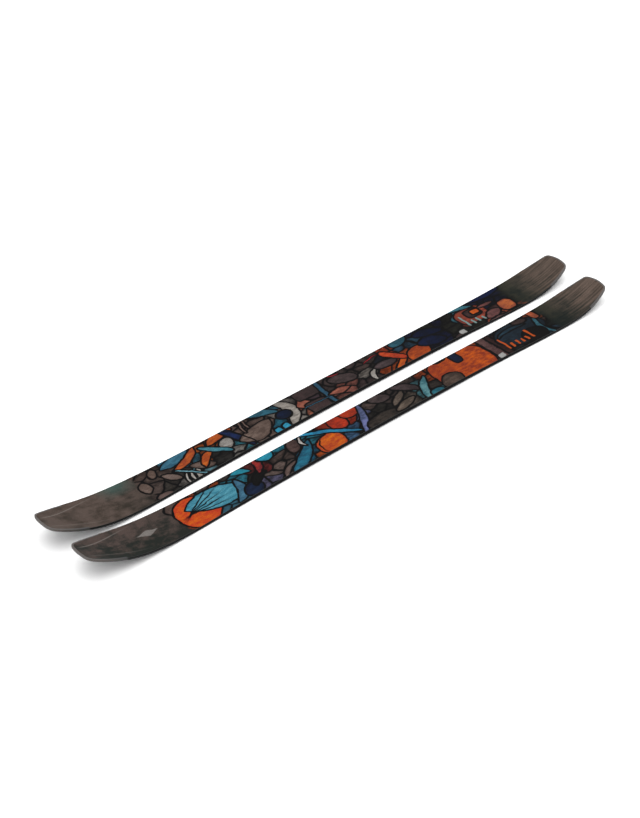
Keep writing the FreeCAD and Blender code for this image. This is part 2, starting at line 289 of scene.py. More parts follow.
def sheet_grid(rows, starts, level, detail, drop=0.0):
    """One face of a sheet: points by row and column, right side to left side. starts is each row's inset."""
    plan = ACROSS[detail]
    insets = np.maximum(np.array(plan["insets"])[None, :] + starts[:, None], 0)
    insets = np.minimum(insets, np.maximum(FLANGE_INSET, starts[:, None]))
    x = rows[:, 0, None] - rows[:, 2, None] * insets
    y = rows[:, 1, None] - rows[:, 3, None] * insets
    x_in, y_in = x[:, -1:], y[:, -1:]
    ridge = np.minimum(ridge_y(x_in) / np.maximum(y_in, NEAR_ZERO), RIDGE_LIMIT)
    half = np.minimum(RIDGE_SOFTNESS / np.maximum(y_in, NEAR_ZERO), SOFTNESS_LIMIT)
    outer = np.linspace(1, 0, plan["sides"] + 1)[None, 1:-1] * (1 - ridge - half) + ridge + half
    inner = np.linspace(1, 0, plan["middle"] + 1)[None, 1:] * (ridge - half)
    share = np.hstack([outer, ridge + half, ridge, ridge - half, inner])
    x = np.hstack([x, np.repeat(x_in, share.shape[1], axis=1)])
    y = np.hstack([y, y_in * share])
    z = height(x, y, np.full(x.shape, level))
    z[:, 0] -= drop
    left = np.stack([x, y, z], axis=2)
    right = left[:, -2::-1] * (1, -1, 1)
    return np.hstack([left, right])


def sheet(rows, low, high, low_starts, high_starts, detail="plain", drop=0.0):
    """A closed sheet between two levels. Its rim may slope, when the two faces start at different insets."""
    top = sheet_grid(rows, high_starts, high, detail, drop)
    bottom = sheet_grid(rows, low_starts, low, detail)
    count, width = top.shape[:2]
    start = count * width
    faces = []
    for i in range(count - 1):
        for j in range(width - 1):
            quad = (i * width + j, i * width + j + 1, (i + 1) * width + j + 1, (i + 1) * width + j)
            faces += [quad, tuple(start + k for k in quad)]
        for j in (0, width - 1):
            a, b = i * width + j, (i + 1) * width + j
            faces.append((a, b, start + b, start + a))
    for i in (0, count - 1):
        for j in range(width - 1):
            a = i * width + j
            faces.append((a, a + 1, start + a + 1, start + a))
    return np.vstack([top.reshape(-1, 3), bottom.reshape(-1, 3)]), faces


def with_steps(first, last, outside, inside):
    """Rows of a sheet that is wider between the rims. The rows at the steps come twice, once for each inset."""
    steps = []
    for number in range(first, last + 1):
        within = EDGE_ROWS[0] <= number <= EDGE_ROWS[1]
        if number == EDGE_ROWS[0] and first < number:
            steps.append((number, outside))
        steps.append((number, inside if within else outside))
        if number == EDGE_ROWS[1] and number < last:
            steps.append((number, outside))
    numbers, starts = zip(*steps)
    return ROWS[list(numbers)], np.array(starts, dtype=float)


# ---- materials ---------------------------------------------------------------------------------------------
def linear(code):
    """A colour from its display code, such as "cd581e"."""
    parts = [int(code[i:i + 2], 16) / 255 for i in (0, 2, 4)]
    return (*[c / 12.92 if c <= 0.04045 else ((c + 0.055) / 1.055) ** 2.4 for c in parts], 1.0)


class Tree:
    """A node tree built from expressions. Any input is a number, a colour, a vector or another node's output."""

    def __init__(self, tree):
        self.tree = tree

    def put(self, socket, value):
        if isinstance(value, bpy.types.NodeSocket):
            self.tree.links.new(value, socket)
        elif value is not None:
            socket.default_value = linear(value) if isinstance(value, str) else value

    def node(self, kind, inputs=(), **settings):
        """inputs are (socket name or number, value) pairs."""
        made = self.tree.nodes.new("ShaderNode" + kind)
        for key, value in settings.items():
            setattr(made, key, value)
        for key, value in inputs:
            self.put(made.inputs[key], value)
        return made

    def math(self, operation, *values):
        return self.node("Math", enumerate(values), operation=operation).outputs[0]

    def vector(self, operation, a, b=None, scale=None):
        values = [(0, a), (1, b), ("Scale", scale)] if scale is not None else [(0, a), (1, b)]
        made = self.node("VectorMath", operation=operation)
        for key, value in values:
            self.put(made.inputs[key], value)
        return made.outputs[1 if operation == "LENGTH" else 0]

    def mix(self, share, under, over, blend="MIX"):
        made = self.node("Mix", [(0, share), (6, under), (7, over)], data_type="RGBA", blend_type=blend)
        return made.outputs[2]

    def noise(self, place, scale, detail=3.0, roughness=0.55, stretch=(1, 1, 1), shift=(0, 0, 0)):
        """Cloudy noise of a size in millimetres: the value and the colour outputs."""
        at = self.node("Mapping", [(0, place), (1, shift), (3, tuple(s / scale for s in stretch))]).outputs[0]
        inputs = [("Vector", at), ("Scale", 1.0), ("Detail", detail), ("Roughness", roughness)]
        made = self.node("TexNoise", inputs)
        return made.outputs[0], made.outputs[1]

    def fit(self, value, low, high, to_low=0.0, to_high=1.0):
        """A value from one range to another, held at its ends.

        Map Range and clamping nodes are left out, because the renderer puts off their clamps, and a long chain
        that waits for one needs too much memory.
        """
        slope = (to_high - to_low) / (high - low)
        mapped = self.math("MULTIPLY_ADD", value, slope, to_low - slope * low)
        return self.math("MINIMUM", self.math("MAXIMUM", mapped, min(to_low, to_high)), max(to_low, to_high))

    def shift(self, noise, reach):
        """A noise's colour as a shift to and fro."""
        return self.vector("SCALE", self.vector("SUBTRACT", noise, (0.5, 0.5, 0.5)), scale=reach)

    def split(self, vector):
        return self.node("SeparateXYZ", [(0, vector)]).outputs

    def ramp(self, share, stops, interpolation="LINEAR"):
        made = self.node("ValToRGB", [(0, share)])
        scale = made.color_ramp
        scale.interpolation = interpolation
        while len(scale.elements) < len(stops):
            scale.elements.new(1.0)
        for element, (place, _) in zip(scale.elements, stops):
            element.position = place
        for element, (_, code) in zip(scale.elements, stops):
            element.color = linear(code)
        return made.outputs[0]


class Finish(Tree):
    """A material: its tree, its place coordinates in millimetres, and its shader."""

    def __init__(self, name, offset=0.0, **constants):
        self.material = bpy.data.materials.new(name)
        self.material.use_nodes = True
        super().__init__(self.material.node_tree)
        self.shader = self.tree.nodes["Principled BSDF"]
        place = self.vector("SCALE", self.node("TexCoord").outputs["Object"], scale=1000.0)
        self.place = self.vector("SUBTRACT", place, (0, offset, 0)) if offset else place
        for key, value in constants.items():
            self.shader.inputs[key.replace("_", " ")].default_value = value

    def painted_shape(self, x, y, shape, line, brush, under):
        """Put one shape of the print over what is under it. A shape may say its own contour's half width."""
        centre_x, centre_y, length, width, turn, bend, p, q, light, dark, *own_line = shape
        c, s = math.cos(math.radians(turn)), math.sin(math.radians(turn))
        made = self.node("Group", node_tree=PAINTED_SHAPE)
        values = {
            "X": x, "Y": y, "Length": length, "Width": width, "P": p, "Q": q, "Bend": -bend / width,
            "UX": c / length, "UY": s / length, "U0": -(c * centre_x + s * centre_y) / length,
            "VX": -s / width, "VY": c / width, "V0": (s * centre_x - c * centre_y) / width,
            "Line": own_line[0] if own_line else line, "Brush": brush,
            "Light": light, "Dark": dark, "Under": under,
        }
        for key, value in values.items():
            self.put(made.inputs[key], value)
        return made.outputs[0]

    def connect(self, color=None, roughness=None, bump=None, strength=0.2, distance=0.0002):
        self.put(self.shader.inputs["Base Color"], color)
        self.put(self.shader.inputs["Roughness"], roughness)
        if bump is not None:
            made = self.node("Bump", [("Height", bump), ("Strength", strength), ("Distance", distance)])
            self.put(self.shader.inputs["Normal"], made.outputs[0])
        return self.material


INK = "0b0a0b"
SHARPNESS = 1.25  # how fast one colour gives way to the next at an outline, per millimetre
SHADING = 0.11  # how fast a shape lightens from its outline inwards, per millimetre
LEAST_SLOPE = 0.004  # keeps the distance to an outline finite at a shape's middle


def painted_shape_group():
    """A rounded, pointed or square patch of paint with a dark contour, over what is under it.

    Its outline is |u|^p + |v|^q = 1 in its own turned and scaled coordinates. Powers 2 and 2 give an oval, 2 and
    1 a leaf, 1 and 1 a lozenge, and large ones a rounded rectangle. Its long axis may bend into a bow. It adds no
    clamping nodes, for the reason that Tree.fit gives.
    """
    group = bpy.data.node_groups.new("painted_shape", "ShaderNodeTree")
    numbers = "X", "Y", "UX", "UY", "U0", "VX", "VY", "V0", "Bend", "Length", "Width", "P", "Q", "Line", "Brush"
    for name in numbers:
        group.interface.new_socket(name, in_out="INPUT", socket_type="NodeSocketFloat")
    for name in ("Light", "Dark", "Under"):
        group.interface.new_socket(name, in_out="INPUT", socket_type="NodeSocketColor")
    group.interface.new_socket("Color", in_out="OUTPUT", socket_type="NodeSocketColor")
    t = Tree(group)
    given = group.nodes.new("NodeGroupInput").outputs
    x, y, p, q = given["X"], given["Y"], given["P"], given["Q"]
    u = t.math("MULTIPLY_ADD", x, given["UX"], t.math("MULTIPLY_ADD", y, given["UY"], given["U0"]))
    v = t.math("MULTIPLY_ADD", x, given["VX"], t.math("MULTIPLY_ADD", y, given["VY"], given["V0"]))
    v = t.math("MULTIPLY_ADD", t.math("MULTIPLY", u, u), given["Bend"], v)
    size_u, size_v = t.math("ABSOLUTE", u), t.math("ABSOLUTE", v)
    value = t.math("SUBTRACT", t.math("ADD", t.math("POWER", size_u, p), t.math("POWER", size_v, q)), 1.0)
    across = t.math("MULTIPLY", q, t.math("POWER", size_v, t.math("SUBTRACT", q, 1.0)))
    across = t.math("MULTIPLY", across, t.math("SIGN", v))
    along = t.math("MULTIPLY", p, t.math("POWER", size_u, t.math("SUBTRACT", p, 1.0)))
    along = t.math("MULTIPLY", along, t.math("SIGN", u))
    lean = t.math("MULTIPLY", t.math("MULTIPLY", u, 2.0), given["Bend"])
    along = t.math("DIVIDE", t.math("MULTIPLY_ADD", across, lean, along), given["Length"])
    across = t.math("DIVIDE", across, given["Width"])
    steep = t.math("SQRT", t.math("MULTIPLY_ADD", along, along, t.math("MULTIPLY", across, across)))
    distance = t.math("DIVIDE", value, t.math("MAXIMUM", steep, LEAST_SLOPE))
    from_edge = t.math("MINIMUM", t.math("MULTIPLY_ADD", distance, -SHADING, 0.0), 1.0)
    along_it = t.math("MINIMUM", t.math("MULTIPLY_ADD", u, 0.4, 0.8), 1.0)
    light = t.math("MULTIPLY", given["Brush"], t.math("MULTIPLY", from_edge, along_it))
    body = t.mix(light, given["Dark"], given["Light"])
    color = t.mix(t.math("MULTIPLY_ADD", distance, -SHARPNESS, 0.5), given["Under"], body)
    past_line = t.math("SUBTRACT", t.math("ABSOLUTE", distance), given["Line"])
    color = t.mix(t.math("MULTIPLY_ADD", past_line, -SHARPNESS, 0.5), color, INK)
    t.put(group.nodes.new("NodeGroupOutput").inputs[0], color)
    return group


PAINTED_SHAPE = painted_shape_group()
ART_FROM, ART_TO = -720.0, 640.0  # the painted stretch, which the palettes below run along
CELL_LENGTH, CELL_WIDTH, CELL_SCALE = 44.0, 31.0, 36.0  # the last turns distances between cells to millimetres
MATT_SPECULAR = 0.03  # lower than a real plastic's, so that the dark surfaces don't turn grey

# Colours by where each starts, from the tail to the tip, on the two sides of the centre line.
LEFT_PALETTES = (
    [(-720, "1c211f"), (-690, "a1512f"), (-665, "5a4640"), (-620, "273443"), (-530, "3a2422"), (-500, "5f4442"),
     (-465, "b9501f"), (-300, "a8481c"), (-230, "4c7f88"), (-190, "4a3f3c"), (-110, "5a4b47"), (-40, "6a6f95"),
     (-10, "b3381c"), (100, "2f8295"), (170, "2b86a6"), (215, "5d4d48"), (255, "2b8ea6"), (300, "7c2c2c"),
     (345, "3f3a37"), (380, "2f8da5"), (455, "6a5752"), (490, "cb5a20")],
    [(-720, "191d1d"), (-690, "2f4555"), (-640, "141416"), (-545, "202224"), (-500, "5b4641"), (-465, "b8501e"),
     (-300, "3b332f"), (-240, "4d8088"), (-190, "5a5048"), (-110, "2c2926"), (20, "45688c"), (85, "c1571d"),
     (165, "1f5d78"), (260, "77655f"), (300, "5b5872"), (350, "23211f"), (400, "17233b"), (430, "3f768c"),
     (500, "c4521f")],
)
RIGHT_PALETTES = (
    [(-720, "1c211f"), (-690, "141b38"), (-590, "3b7180"), (-500, "26261f"), (-440, "141a3a"), (-360, "31546a"),
     (-290, "b4421f"), (-240, "1c2230"), (-200, "4f413d"), (-120, "463a38"), (-20, "335b74"), (0, "4a3c42"),
     (45, "a35f49"), (75, "8e8781"), (125, "2d5f70"), (200, "6e5a52"), (280, "182544"), (305, "c0601f"),
     (410, "3c7288"), (510, "5f5049"), (560, "6b5850")],
    [(-720, "1c211f"), (-700, "b0553a"), (-640, "6a4642"), (-590, "a14b37"), (-535, "25251f"), (-440, "131a3b"),
     (-350, "ab4a1d"), (-230, "2c2826"), (-190, "8a827b"), (-150, "453838"), (-90, "8a5348"), (-30, "335a72"),
     (0, "413650"), (60, "a1604b"), (80, "8f8882"), (145, "2f95b5"), (190, "6f5c54"), (275, "3f93a5"),
     (305, "8b8782"), (340, "2a2826"), (380, "b25b22"), (430, "6fa0ae"), (450, "8b8480"), (500, "3f3a35"),
     (560, "665650")],
)

# half widths of contours, in millimetres
NO_LINE = -5.0
THIN = 0.9


def fan(x, y, near, far, first, last, count):
    """Thin ink strokes that spread from a point, between two distances and two directions in degrees."""
    for i in range(count):
        turn = first + (last - first) * i / (count - 1)
        reach = (near + far) / 2
        middle = (x + reach * math.cos(math.radians(turn)), y + reach * math.sin(math.radians(turn)))
        yield (*middle, (far - near) / 2, 0.5, turn, 0, 2, 2, INK, INK, THIN)


def bars(places, x, step, y, half_length, color):
    """Upright bars side by side, without contours: places are their half heights."""
    for i, half_height in enumerate(places):
        yield (x + i * step, y - half_height, half_length, half_height, 0, 0, 6, 6, color, color, NO_LINE)


# Painted shapes: centre x and y, half length and half width, turn in degrees, how far the two ends bow to the
# left, the two powers, the light and the dark colour, and the contour's half width where it isn't the brush's.
LEFT_SHAPES = [
    (570, -46, 44, 26, 20, 0, 2, 2, "62504a", "43352f"), (548, 8, 61, 62, 0, 0, 2, 2, "e0661b", "c23a20"),
    (474, -4, 96, 40, -10, 8, 2, 1.3, "64afc2", "3a8198"), *fan(572, 10, 14, 84, 174, 212, 5),
    (412, 22, 46, 14, 62, -16, 2, 2, "4f83a0", "335a72"), (386, 34, 30, 24, 20, 0, 2, 1.6, "1d2c4a", "10182c"),
    (352, 6, 34, 12, 30, 6, 2, 2, "131212", "0e0e0e"), (372, -42, 30, 12, -20, 6, 2, 1.5, "2f9fb5", "24798e"),
    (318, -34, 34, 11, 78, -14, 2, 2, "b4352c", "6a2429"), (286, -54, 28, 26, 0, 0, 2, 2, "2fa0bd", "237a92"),
    (274, 34, 42, 9, 28, 8, 2, 1.6, "73605a", "4d3e3a"), (208, 24, 70, 17, 34, -12, 2, 1.6, "2c7b96", "1d4f66"),
    (206, -28, 30, 20, 60, 0, 2, 1.6, "5c4844", "3b2d2b"), (181, -30, 22, 6, 80, 10, 2, 2, "e0dcd8", "a8a29d"),
    (120, 26, 45, 38, -160, 0, 2, 2, "e0701b", "ae3f22"), (150, 16, 16, 0.6, 70, 3, 2, 2, INK, INK, 1.0),
    (56, -26, 31, 28, 130, 0, 2, 1.5, "c43c1f", "8c2a1c"), (4, -44, 25, 32, 90, 0, 2, 2, "c43f20", "8e2d1c"),
    (104, -20, 100, 8, -33, 9, 4, 2, "2f97c0", "27688a"), (-10, 6, 70, 12, 61, -10, 2, 1.5, "7a80b4", "46506f"),
    (-52, 46, 60, 30, 0, 0, 2, 2, "443c36", "25211f"), (-96, -32, 34, 20, -20, 0, 2, 1.6, "5a4c4c", "372e2e"),
    (-132, 30, 40, 14, 14, 3, 2, 1.8, "7b6c60", "4d433b"), (-134, 0, 36, 11, 32, 0, 2, 1.7, "75675c", "4a4039"),
    (-182, -20, 44, 15, -40, 5, 2, 1.8, "4d4142", "2e2728"),
    (-218, 16, 56, 13, 62, 10, 2, 1.6, "6da0a6", "3b6973"),
    (-236, 50, 22, 18, 0, 0, 2, 2, "2f7484", "205564"), (-366, 8, 98, 66, 180, 0, 4, 3, "cf5c1c", "8e3520"),
    (-300, 38, 36, 28, 12, 0, 2, 2, "6a584e", "3e322c"), (-376, -46, 15, 38, 0, 0, 3, 3, "1a2540", "10182b"),
    (-330, -58, 30, 16, 0, 0, 2, 2, "3b2c28", "221b1a"), (-484, 2, 15, 80, 3, 0, 5, 5, "694c4a", "432e2e"),
    (-508, 0, 9, 80, 3, 0, 5, 5, "3a2523", "251817"), (-598, -4, 88, 52, 0, 0, 2, 2, "22303c", "161d24"),
    (-580, -30, 54, 7, 4, 8, 2, 2, "2b4453", "1c2c37"), (-658, 14, 56, 9, 92, 26, 2, 2, "437480", "29505d"),
    (-622, 30, 40, 32, 0, 0, 2, 2, "141314", "0d0c0d"), (-628, -42, 26, 12, -8, 0, 2, 2, "4a3a37", "2e2423"),
    (-682, -42, 11, 20, 6, 0, 4, 4, "c2603c", "7f4431"),
]
RIGHT_SHAPES = [
    (586, 4, 24, 16, 76, 0, 2, 1.8, "7b6961", "5c4c44"), (540, -32, 20, 13, 62, 0, 2, 1.8, "745f56", "54453d"),
    (566, 58, 24, 14, 0, 0, 2, 2, "735e59", "544440"), (508, 10, 28, 13, -52, 0, 2, 1.6, "7f6d66", "5c4c44"),
    (484, 46, 26, 4.5, 76, 4, 4, 2, "cdc7c1", "948e88"), (468, 44, 26, 4.5, 76, 4, 4, 2, "cdc7c1", "948e88"),
    (450, 46, 26, 8, 70, 4, 4, 2, "cdc7c1", "8f8983"), (462, -40, 52, 18, 12, -5, 2, 1.5, "467f97", "2e5c73"),
    (440, -20, 56, 13, 26, -8, 2, 1.6, "d0692b", "9c4426"), (420, 22, 34, 16, -30, 0, 2, 1.5, "77635b", "4f403a"),
    (458, 28, 46, 4, -46, 0, 6, 2, "8cc0cd", "558492"), (398, 6, 36, 12, 40, 8, 2, 1.6, "cf6b28", "a5481f"),
    (322, -2, 26, 20, 50, 0, 2, 1.5, "b0aba6", "7a7570"), (320, -44, 46, 17, 10, 8, 2, 1.6, "cb6525", "9d4520"),
    (358, -4, 48, 9, -48, 0, 4, 2, "5c9fad", "35707f"), (284, -8, 60, 13, -72, 4, 3, 1.6, "1e2f5c", "121b36"),
    (232, 16, 60, 28, 12, -12, 2, 1.5, "7f6c63", "574740"), (262, 20, 40, 0.6, -78, 6, 2, 2, INK, INK, 1.3),
    (252, -30, 26, 4, 80, 3, 4, 2, "8b7268", "5e4c45"), (236, -36, 24, 4, 84, 3, 4, 2, "8b7268", "5e4c45"),
    (176, -42, 48, 15, -24, 8, 2, 1.5, "3a7489", "27505f"), (184, 50, 11, 16, 0, 0, 4, 4, "3aa9cc", "2b7d9b"),
    (157, 50, 11, 16, 0, 0, 4, 4, "3aa9cc", "2b7d9b"), (106, 0, 58, 19, 84, -26, 3, 2, "b3aba3", "7c766f"),
    (134, 4, 24, 19, 0, 0, 2, 1.7, "15203c", "0e1526"), (66, 2, 24, 24, 180, 0, 1.2, 1.2, "b4705a", "84483a"),
    (36, 32, 34, 26, 0, 0, 5, 5, "4a3a39", "362b2b"), (30, -30, 40, 20, 0, 0, 5, 5, "463737", "342a2a"),
    (-10, 2, 60, 8, 86, 4, 5, 2, "35637c", "27475b"), (34, 20, 42, 1.6, 0, 0, 4, 4, "2f6078", "2f6078", 0.8),
    (-46, 20, 36, 16, -8, 0, 1.3, 1.1, "b46c58", "7d473b"), (-88, -14, 44, 22, -24, 0, 2, 1.8, "5a4a4a", "362d2d"),
    (-74, -42, 22, 3, -16, -5, 2, 2, "c0323a", "7a2228", 0.9), (-160, 30, 30, 8, 66, 14, 2, 2, "d6d1cc", "97918b"),
    (-216, 12, 38, 17, -8, 0, 2, 1.8, "584a4c", "362d2e"),
    (-196, -34, 30, 2.4, 8, 4, 2, 2, "c0282f", "7a1c22", 0.9),
    (-140, -46, 22, 14, 30, 0, 2, 1.6, "4a3c3c", "2f2626"), (-250, 44, 36, 9, 34, 0, 4, 3, "dc6d1f", "a8481f"),
    (-258, -2, 42, 12, -53, 0, 4, 3, "cf4f28", "93301f"), (-322, 36, 44, 32, 24, 0, 2, 1.8, "c8591f", "8f3a1f"),
    (-312, -44, 34, 22, 12, 0, 2, 2, "356879", "234552"), (-386, 14, 44, 22, -18, 4, 2, 1.8, "151e3e", "0d1226"),
    (-402, -22, 46, 18, -14, 4, 2, 1.8, "111936", "0c1122"), (-462, 52, 22, 10, 10, 0, 2, 2, "52403e", "34292a"),
    (-556, -2, 52, 36, 180, 0, 3, 3, "b0523a", "71342b"), (-566, -8, 26, 20, 0, 0, 5, 5, "463230", "2b201f"),
    (-574, -8, 15, 11, 0, 0, 5, 5, "d6621f", "a5421f"), (-544, -50, 46, 10, -14, 6, 2, 1.6, "4a8c9a", "2d5c69"),
    (-608, 32, 30, 18, 14, 0, 2, 1.4, "8e5c58", "5d3c3b"), (-620, -14, 28, 8, -8, 0, 2, 1.5, "8a5450", "583836"),
    (-600, 60, 30, 12, 0, 0, 2, 2, "71504d", "4f3736"), (-667, 26, 26, 26, 180, 0, 3, 3, "c46a3a", "864233"),
    (-650, -52, 60, 14, 0, 0, 2, 2, "172249", "0f1630"),
]
TAIL_BARS = (28, 11, 11, 8, 8, 21)
PLAIN_MARKS = [(-481, 43, 10, 8.5, 0, 0, 6, 6, "b4b3b1", "a3a2a0", NO_LINE)]
LEFT_SHAPES += [(694, -2, 32, 11, 0, 0, 1, 1, "8f8985", "817b77", NO_LINE), *PLAIN_MARKS]
LEFT_SHAPES += bars(TAIL_BARS, -520, -18, 38, 3.4, "c2541f")
RIGHT_SHAPES += PLAIN_MARKS
RIGHT_SHAPES += bars(TAIL_BARS[:4], -520, -18, 38, 3.0, "7f9a98")


def scratches(f, amount):
    """Fine lengthwise handling marks, as an addition to roughness."""
    fine, _ = f.noise(f.place, 1.2, 4.0, 0.6, stretch=(0.02, 1, 1))
    return f.fit(fine, 0.35, 0.75, 0.0, amount)


def hand(f, flat, seed):
    """The painter's hand: places shifted by its wobble for the cells and for the shapes, and its strokes."""
    _, drift = f.noise(flat, 70.0, 1.0, 0.4, shift=(seed, seed, 0))
    wobble = f.shift(drift, 34.0)
    _, tremor = f.noise(flat, 17.0, 1.0, 0.4, shift=(seed, 0, 0))
    shake = f.shift(tremor, 6.0)
    warped = f.vector("ADD", flat, f.vector("ADD", wobble, shake))
    drawn = f.vector("ADD", flat, f.vector("ADD", f.vector("SCALE", wobble, scale=0.35), shake))
    _, quiver = f.noise(drawn, 5.0, 1.0, 0.4, shift=(seed, 3, 0))
    drawn = f.vector("ADD", drawn, f.shift(quiver, 1.6))
    stroke, _ = f.noise(drawn, 9.0, 4.0, 0.65, stretch=(0.35, 1, 1), shift=(seed, 5, 0))
    blotch, _ = f.noise(flat, 42.0, 3.0, 0.6, shift=(seed, 9, 0))
    mixed = f.math("ADD", f.math("MULTIPLY", stroke, 0.6), f.math("MULTIPLY", blotch, 0.4))
    brush = f.fit(mixed, 0.42, 0.58)
    line = f.fit(stroke, 0.3, 0.7, 1.9, 3.3)
    return {"warped": warped, "drawn": drawn, "stroke": stroke, "blotch": blotch, "brush": brush, "line": line}


def print_ground(f, flat, x, y, seed, paint, warm_tip, cool_tip, lean, teal):
    """The ground: brown-grey at both ends and dark green-grey between, in cloudy patches that turn to streaks
    at the tail. lean is how much warmer it is on the right and on the left, and teal is the strength of a tint
    on the right, before the tip."""
    share = f.fit(x, -LENGTH / 2, LENGTH / 2)
    warm = f.ramp(share, [(0.0, "7d6c62"), (0.05, "705f55"), (0.09, "3d3b32"), (0.12, "26281f"), (0.3, "22241f"),
                          (0.8, "4a403b"), (0.88, warm_tip), (1.0, warm_tip)])
    cool = f.ramp(share, [(0.0, "50443c"), (0.05, "2d302b"), (0.09, "1b2220"), (0.8, "2a2a27"),
                          (0.9, cool_tip), (1.0, cool_tip)])
    streak, _ = f.noise(flat, 6.0, 3.0, 0.6, stretch=(0.03, 1, 1), shift=(seed, 2, 0))
    on_tail = f.fit(x, -700, -800)
    cloud = f.math("ADD", f.math("MULTIPLY", paint["blotch"], 1.6), f.fit(y, -50, 50, *lean))
    patches = f.fit(f.math("ADD", cloud, f.math("MULTIPLY", paint["brush"], 0.25)), 0.6, 1.2)
    streaks = f.math("MULTIPLY", f.fit(streak, 0.4, 0.6), 0.7)
    streaks = f.math("ADD", streaks, f.math("MULTIPLY", patches, 0.3))
    worn = f.math("MULTIPLY_ADD", on_tail, f.math("SUBTRACT", streaks, patches), patches)
    ground = f.mix(worn, cool, warm)
    from_tint = f.math("ABSOLUTE", f.math("SUBTRACT", x, 645))
    tint = f.math("MULTIPLY", f.fit(from_tint, 60, 10), f.fit(y, -10, -55))
    return f.mix(f.math("MULTIPLY", tint, teal), ground, "3f6a64")


def painted_ridge_highlights(f, x, y, ground):
    """Painted highlights: thin pale lines along the two ridges of the tip, standing in for glints of light,
    stronger on the right one.
    """
    swing = f.math("COSINE", f.fit(x, RIDGE_START, LENGTH / 2, 0, math.pi))
    reach = f.math("MULTIPLY_ADD", swing, (RIDGE_MID - RIDGE_END) / 2, (RIDGE_MID + RIDGE_END) / 2)
    from_ridge = f.math("ABSOLUTE", f.math("SUBTRACT", f.math("ABSOLUTE", y), reach))
    fading_in = f.fit(from_ridge, 2.4, 0.4)
    glint = f.math("MULTIPLY", fading_in, f.fit(x, RIDGE_START + 20, RIDGE_START + 90, 0, 0.4))
    glint = f.math("MULTIPLY", glint, f.math("MULTIPLY", f.fit(x, 890, 870), f.fit(y, 15, -15, 0.45, 1.0)))
    # the painted highlight's colour along the ridges
    return f.mix(glint, ground, "a09892")


def colour_cells(f, paint, palettes):
    """Small cells of colour, each with its palette's colour at its middle, under dark contours."""
    cell = f.vector("MULTIPLY", paint["warped"], (1 / CELL_LENGTH, 1 / CELL_WIDTH, 1))
    settings = [("Vector", cell), ("Scale", 1.0), ("Randomness", 1.0)]
    near = f.node("TexVoronoi", settings, voronoi_dimensions="2D")
    border = f.node("TexVoronoi", settings, voronoi_dimensions="2D", feature="DISTANCE_TO_EDGE")
    chance, luck, _ = f.node("SeparateColor", [(0, near.outputs["Color"])]).outputs
    middle_x, middle_y, _ = f.split(near.outputs["Position"])
    jitter = CELL_LENGTH / 2
    middle_x = f.math("ADD", f.math("MULTIPLY", middle_x, CELL_LENGTH), f.fit(chance, 0, 1, -jitter, jitter))
    along = f.fit(middle_x, ART_FROM, ART_TO)
    span = ART_TO - ART_FROM
    right, left = [
        f.ramp(along, [((at - ART_FROM) / span, code) for at, code in palette], "CONSTANT")
        for palette in palettes
    ]
    cells = f.mix(f.math("GREATER_THAN", middle_y, 0.0), right, left)
    cells = f.mix(f.fit(luck, 0.0, 1.0, 0.0, 0.55), cells, "1d1b1b")
    cells = f.mix(f.fit(paint["brush"], 0, 1, 0.75, 0.0), cells, "2a2524", "MULTIPLY")
    gap = f.math("MULTIPLY", border.outputs["Distance"], CELL_SCALE)
    cells = f.mix(f.fit(gap, 9.0, 1.0, 0.0, 0.5), cells, INK)
    return f.mix(f.fit(f.math("SUBTRACT", gap, paint["line"]), 0.5, -0.5), cells, INK)


def topsheet_print_and_highlights(ski, palettes, shapes, warm_tip, cool_tip, lean, teal):
    """The print of one top: its ground with painted highlights along the tip's ridges, the cells over the painted
    stretch, and the shapes over both.
    """
    f = Finish(f"{ski}_topsheet_print", centre_y(ski), Specular_IOR_Level=MATT_SPECULAR)
    flat = f.vector("MULTIPLY", f.place, (1, 1, 0))
    x, y, _ = f.split(flat)
    seed = 0.0 if ski == "left" else 37.0
    paint = hand(f, flat, seed)
    ground = print_ground(f, flat, x, y, seed, paint, warm_tip, cool_tip, lean, teal)
    # painted highlights along the tip's ridges, over the ground
    ground = painted_ridge_highlights(f, x, y, ground)
    cells = colour_cells(f, paint, palettes)

    edge = f.math("MULTIPLY", f.math("SUBTRACT", paint["blotch"], 0.5), 60.0)
    edge = f.math("ADD", x, edge)
    in_art = f.math("MULTIPLY", f.fit(edge, 600, 590), f.fit(edge, -712, -690))
    color = f.mix(in_art, ground, cells)
    drawn_x, drawn_y, _ = f.split(paint["drawn"])
    for shape in shapes:
        color = f.painted_shape(drawn_x, drawn_y, shape, paint["line"], paint["brush"], color)

    grain, _ = f.noise(flat, 2.2, 3.0, 0.7)
    color = f.mix(1.0, color, f.ramp(grain, [(0.3, "989898"), (0.7, "dadada")]), "MULTIPLY")
    relief = f.math("ADD", f.math("MULTIPLY", paint["stroke"], 0.6), f.math("MULTIPLY", grain, 0.4))
    roughness = f.math("ADD", f.fit(paint["brush"], 0, 1, 0.42, 0.5), scratches(f, 0.1))
    return f.connect(color, roughness, relief, 0.15, 0.00015)


def plastic(name, dark, light, roughness, planed=0.0, size=3.0):
    """Satin plastic: a little mottled, and with lengthwise tool lines where it was planed."""
    f = Finish(name, Specular_IOR_Level=MATT_SPECULAR)
    mottle, _ = f.noise(f.place, size, 4.0, 0.6)
    lines, _ = f.noise(f.place, 0.9, 3.0, 0.6, stretch=(0.015, 1, 1))
    tone = f.mix(planed, f.fit(mottle, 0.35, 0.65), f.fit(lines, 0.35, 0.65))
    uneven = f.fit(tone, 0.0, 1.0, roughness - 0.06, roughness + 0.08)
    return f.connect(f.mix(tone, dark, light), uneven, tone, 0.12, 0.0001)


